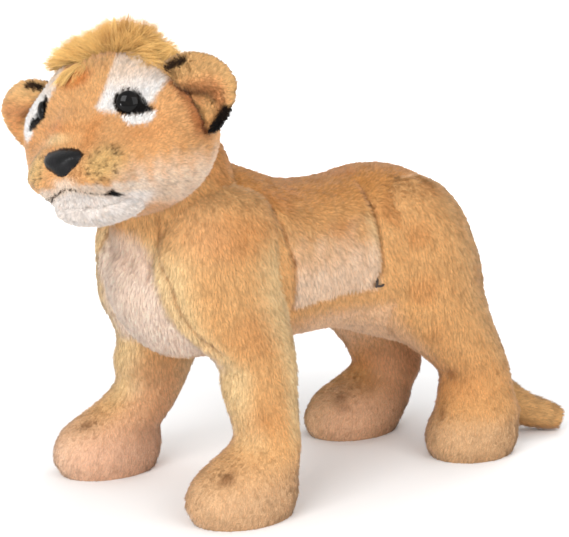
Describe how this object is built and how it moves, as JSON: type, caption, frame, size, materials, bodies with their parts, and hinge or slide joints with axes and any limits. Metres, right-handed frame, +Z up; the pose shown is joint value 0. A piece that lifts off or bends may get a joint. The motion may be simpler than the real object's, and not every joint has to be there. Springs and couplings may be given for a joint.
{
  "type": "stuffed lion cub",
  "caption": "Standing stuffed lion cub with a wired skeleton inside: jointed legs, head that nods and turns, folding ears and a tail that lifts.",
  "frame": {"origin": "on the ground under the middle of the cub's bounding box", "axes": "+Z up; the cub's body faces -Y, its own left side is +X"},
  "size_m": [0.2646, 0.5774, 0.4393],
  "materials": {
    "tan_plush": "short dense golden tan plush, paler on chest and paws",
    "pale_plush": "short cream plush",
    "mane_plush": "long golden pile",
    "black_plush": "black pile",
    "sole_suede": "dark brown brushed sole cloth",
    "eye_plastic": "polished black-brown dome",
    "nose_plastic": "satin black, finely pebbled",
    "washer_plastic": "plain moulded",
    "coated_wire": "plastic-coated bending wire",
    "rod_steel": "plain drawn"
  },
  "bodies": {
    "torso_body": {"torso": "tan_plush", "spine_wire": "coated_wire", "shoulder_bar": "rod_steel", "hip_bar": "rod_steel"},
    "neck_body": {"neck_wire": "coated_wire"},
    "head_body": {"head": "tan_plush", "chin": "pale_plush", "mane": "mane_plush", "nose": "nose_plastic", "washer_nose": "washer_plastic", "eye_left": "eye_plastic", "eye_right": "eye_plastic", "washer_eye_left": "washer_plastic", "washer_eye_right": "washer_plastic"},
    "leg_front_left_body": {"leg_front_left": "tan_plush", "sole_front_left": "sole_suede", "wire_front_left": "coated_wire"},
    "leg_front_right_body": {"leg_front_right": "tan_plush", "sole_front_right": "sole_suede", "wire_front_right": "coated_wire"},
    "leg_hind_left_body": {"leg_hind_left": "tan_plush", "sole_hind_left": "sole_suede", "wire_hind_left": "coated_wire"},
    "leg_hind_right_body": {"leg_hind_right": "tan_plush", "sole_hind_right": "sole_suede", "wire_hind_right": "coated_wire"},
    "ear_left_body": {"ear_left": "tan_plush", "ear_mark_top_left": "black_plush", "ear_mark_low_left": "black_plush"},
    "ear_right_body": {"ear_right": "tan_plush", "ear_mark_top_right": "black_plush", "ear_mark_low_right": "black_plush"},
    "tail_body": {"tail": "tan_plush", "wire_tail": "coated_wire"}
  },
  "joints": [
    {"name": "head_nod", "type": "hinge", "parent": "torso_body", "child": "neck_body", "pos_m": [0.007, -0.14261, 0.298], "axis": [1, 0, 0], "range_deg": [-8, 8]},
    {"name": "head_turn", "type": "hinge", "parent": "neck_body", "child": "head_body", "pos_m": [0.007, -0.14261, 0.298], "axis": [0, 0, 1], "range_deg": [-55, 5]},
    {"name": "leg_front_left_swing", "type": "hinge", "parent": "torso_body", "child": "leg_front_left_body", "pos_m": [0.007, -0.11861, 0.226], "axis": [1, 0, 0], "range_deg": [-12.51, 11.49]},
    {"name": "leg_front_right_swing", "type": "hinge", "parent": "torso_body", "child": "leg_front_right_body", "pos_m": [0.007, -0.11861, 0.226], "axis": [1, 0, 0], "range_deg": [-3.44, 20.56]},
    {"name": "leg_hind_left_swing", "type": "hinge", "parent": "torso_body", "child": "leg_hind_left_body", "pos_m": [0.007, 0.11139, 0.205], "axis": [1, 0, 0], "range_deg": [-20.33, 3.67]},
    {"name": "leg_hind_right_swing", "type": "hinge", "parent": "torso_body", "child": "leg_hind_right_body", "pos_m": [0.007, 0.11139, 0.205], "axis": [1, 0, 0], "range_deg": [-3.13, 20.87]},
    {"name": "ear_left_fold", "type": "hinge", "parent": "head_body", "child": "ear_left_body", "pos_m": [0.08487, -0.1725, 0.37828], "axis": [-0.2801, -0.1306, 0.9511], "range_deg": [-12, 12], "stiffness_Nm_per_rad": 0.05},
    {"name": "ear_right_fold", "type": "hinge", "parent": "head_body", "child": "ear_right_body", "pos_m": [-0.04187, -0.2316, 0.35362], "axis": [-0.0316, -0.0147, 0.9994], "range_deg": [-12, 12], "stiffness_Nm_per_rad": 0.05},
    {"name": "tail_lift", "type": "hinge", "parent": "torso_body", "child": "tail_body", "pos_m": [0.007, 0.17739, 0.214], "axis": [1, 0, 0], "range_deg": [0, 45]}
  ]
}
